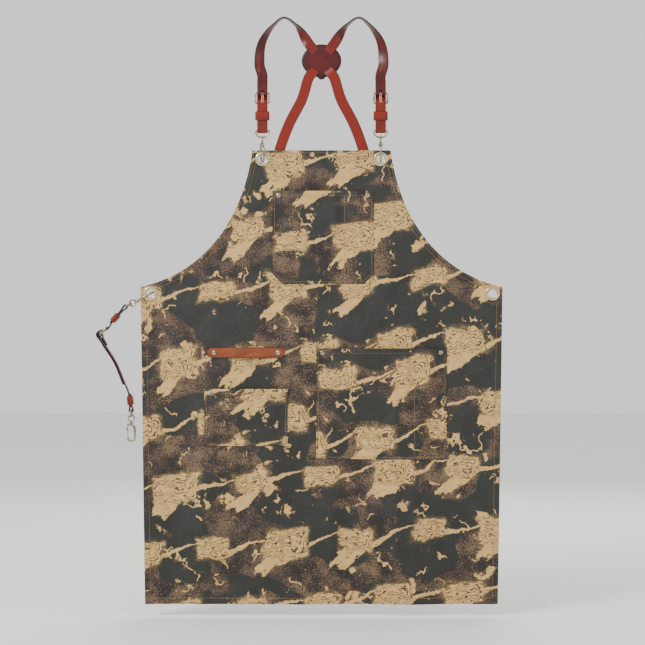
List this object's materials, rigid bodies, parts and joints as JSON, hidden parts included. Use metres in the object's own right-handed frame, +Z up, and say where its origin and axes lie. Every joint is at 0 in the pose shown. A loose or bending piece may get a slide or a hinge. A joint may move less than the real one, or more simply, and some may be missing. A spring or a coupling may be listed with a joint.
{
  "type": "butcher apron",
  "caption": "Canvas bib apron with riveted pouch pockets, a towel strip, eyelets, a crossed leather harness with buckles and a clip-on waist strap.",
  "frame": {"origin": "on the hang line, midway between the undersides of the two shoulder strap crowns", "axes": "+Z up along the apron's length, +Y from the front to the back, +X to the viewer's right as the front is seen"},
  "size_m": [0.735, 0.0318, 1.063],
  "materials": {
    "canvas": "printed cotton canvas",
    "tan_leather": "matte vegetable-tanned",
    "red_leather": "glossy with dark edges",
    "wine_leather": "glossy with dark edges",
    "brass": "pale polished",
    "nickel": "antique nickel"
  },
  "bodies": {
    "apron": {"apron_panel": "canvas", "bib_pocket": "canvas", "towel_pocket": "canvas", "tool_pocket": "canvas", "towel_strip": "tan_leather", "bib_pocket_rivet_left": "nickel", "bib_pocket_rivet_right": "nickel", "towel_pocket_rivet_left": "nickel", "towel_pocket_rivet_right": "nickel", "tool_pocket_rivet_left": "nickel", "tool_pocket_rivet_right": "nickel", "towel_strip_rivet_left": "nickel", "towel_strip_rivet_right": "nickel", "bib_left_eyelet": "brass", "bib_right_eyelet": "brass", "waist_left_eyelet": "brass", "waist_right_eyelet": "brass", "bib_left_eyelet_washer": "brass", "bib_right_eyelet_washer": "brass", "waist_left_eyelet_washer": "brass", "waist_right_eyelet_washer": "brass", "cross_patch": "wine_leather", "shoulder_strap_left": "wine_leather", "shoulder_strap_right": "wine_leather", "bib_left_buckle_frame": "nickel", "bib_left_buckle_prong": "nickel", "bib_left_adjuster_strap": "red_leather", "bib_right_buckle_frame": "nickel", "bib_right_buckle_prong": "nickel", "bib_right_adjuster_strap": "red_leather", "bib_left_snap_hook": "nickel", "bib_right_snap_hook": "nickel"},
    "bib_left_ring": {"bib_left_ring": "nickel"},
    "bib_left_snap_eye": {"bib_left_snap_eye": "nickel"},
    "bib_left_snap_gate": {"bib_left_snap_gate": "nickel"},
    "bib_left_keeper": {"bib_left_keeper": "red_leather"},
    "bib_right_ring": {"bib_right_ring": "nickel"},
    "bib_right_snap_eye": {"bib_right_snap_eye": "nickel"},
    "bib_right_snap_gate": {"bib_right_snap_gate": "nickel"},
    "bib_right_keeper": {"bib_right_keeper": "red_leather"},
    "waist_assembly": {"waist_snap_hook": "nickel", "waist_snap_eye": "nickel", "waist_ring": "nickel", "waist_adjuster_strap": "red_leather", "waist_buckle_frame": "nickel", "waist_buckle_prong": "nickel", "waist_strap": "red_leather"},
    "waist_snap_gate": {"waist_snap_gate": "nickel"},
    "waist_keeper": {"waist_keeper": "red_leather"},
    "waist_end_keeper": {"waist_end_keeper": "red_leather"},
    "waist_end_ring": {"waist_end_ring": "nickel"},
    "waist_end_snap_eye": {"waist_end_snap_eye": "nickel"},
    "waist_end_snap_hook": {"waist_end_snap_hook": "nickel"},
    "waist_end_snap_gate": {"waist_end_snap_gate": "nickel"}
  },
  "joints": [
    {"name": "bib_left_ring_swing", "type": "hinge", "parent": "apron", "child": "bib_left_ring", "pos_m": [-0.107, -0.008, -0.20415], "axis": [1, 0, 0], "range_deg": [-4, 4]},
    {"name": "bib_left_snap_swivel", "type": "hinge", "parent": "apron", "child": "bib_left_snap_eye", "pos_m": [-0.107, -0.008, -0.228], "axis": [0, 0, 1], "range_deg": [-15, 15]},
    {"name": "bib_left_gate", "type": "hinge", "parent": "apron", "child": "bib_left_snap_gate", "pos_m": [-0.10975, -0.00211, -0.23345], "axis": [-0.9063, -0.4226, 0], "range_deg": [0, 6], "stiffness_Nm_per_rad": 0.02, "springref_deg": -5.73},
    {"name": "bib_left_keeper_slide", "type": "slide", "parent": "apron", "child": "bib_left_keeper", "axis": [0, 0, 1], "range_m": [-0.006, 0.003]},
    {"name": "bib_right_ring_swing", "type": "hinge", "parent": "apron", "child": "bib_right_ring", "pos_m": [0.107, -0.008, -0.20415], "axis": [1, 0, 0], "range_deg": [-4, 4]},
    {"name": "bib_right_snap_swivel", "type": "hinge", "parent": "apron", "child": "bib_right_snap_eye", "pos_m": [0.107, -0.008, -0.228], "axis": [0, 0, 1], "range_deg": [-15, 15]},
    {"name": "bib_right_gate", "type": "hinge", "parent": "apron", "child": "bib_right_snap_gate", "pos_m": [0.107, -0.0015, -0.23345], "axis": [-1, 0, 0], "range_deg": [0, 10], "stiffness_Nm_per_rad": 0.02, "springref_deg": -5.73},
    {"name": "bib_right_keeper_slide", "type": "slide", "parent": "apron", "child": "bib_right_keeper", "axis": [0, 0, 1], "range_m": [-0.006, 0.003]},
    {"name": "waist_strap_swing", "type": "hinge", "parent": "apron", "child": "waist_assembly", "pos_m": [-0.3095, -0.008, -0.4986], "axis": [1, 0, 0], "range_deg": [-12, 10]},
    {"name": "waist_gate", "type": "hinge", "parent": "waist_assembly", "child": "waist_snap_gate", "pos_m": [-0.32862, -0.0015, -0.50876], "axis": [0.4695, 0, -0.8829], "range_deg": [0, 10], "stiffness_Nm_per_rad": 0.02, "springref_deg": -5.73},
    {"name": "waist_keeper_slide", "type": "slide", "parent": "waist_assembly", "child": "waist_keeper", "axis": [-0.6691, 0, -0.7431], "range_m": [-0.006, 0.003]},
    {"name": "waist_end_keeper_slide", "type": "slide", "parent": "waist_assembly", "child": "waist_end_keeper", "axis": [-0.0994, 0, 0.995], "range_m": [-0.001, 0.002]},
    {"name": "waist_end_ring_swing", "type": "hinge", "parent": "waist_assembly", "child": "waist_end_ring", "pos_m": [-0.344, -0.008, -0.7096], "axis": [0, 1, 0], "range_deg": [-8, 50]},
    {"name": "waist_end_snap_swing", "type": "hinge", "parent": "waist_end_ring", "child": "waist_end_snap_eye", "pos_m": [-0.344, -0.008, -0.7221], "axis": [0, 1, 0], "range_deg": [-8, 45]},
    {"name": "waist_end_snap_swivel", "type": "hinge", "parent": "waist_end_snap_eye", "child": "waist_end_snap_hook", "pos_m": [-0.344, -0.008, -0.735], "axis": [0, 0, 1], "continuous": true},
    {"name": "waist_end_gate", "type": "hinge", "parent": "waist_end_snap_hook", "child": "waist_end_snap_gate", "pos_m": [-0.3505, -0.008, -0.7389], "axis": [0, -1, 0], "range_deg": [0, 25], "stiffness_Nm_per_rad": 0.02, "springref_deg": -5.73}
  ]
}
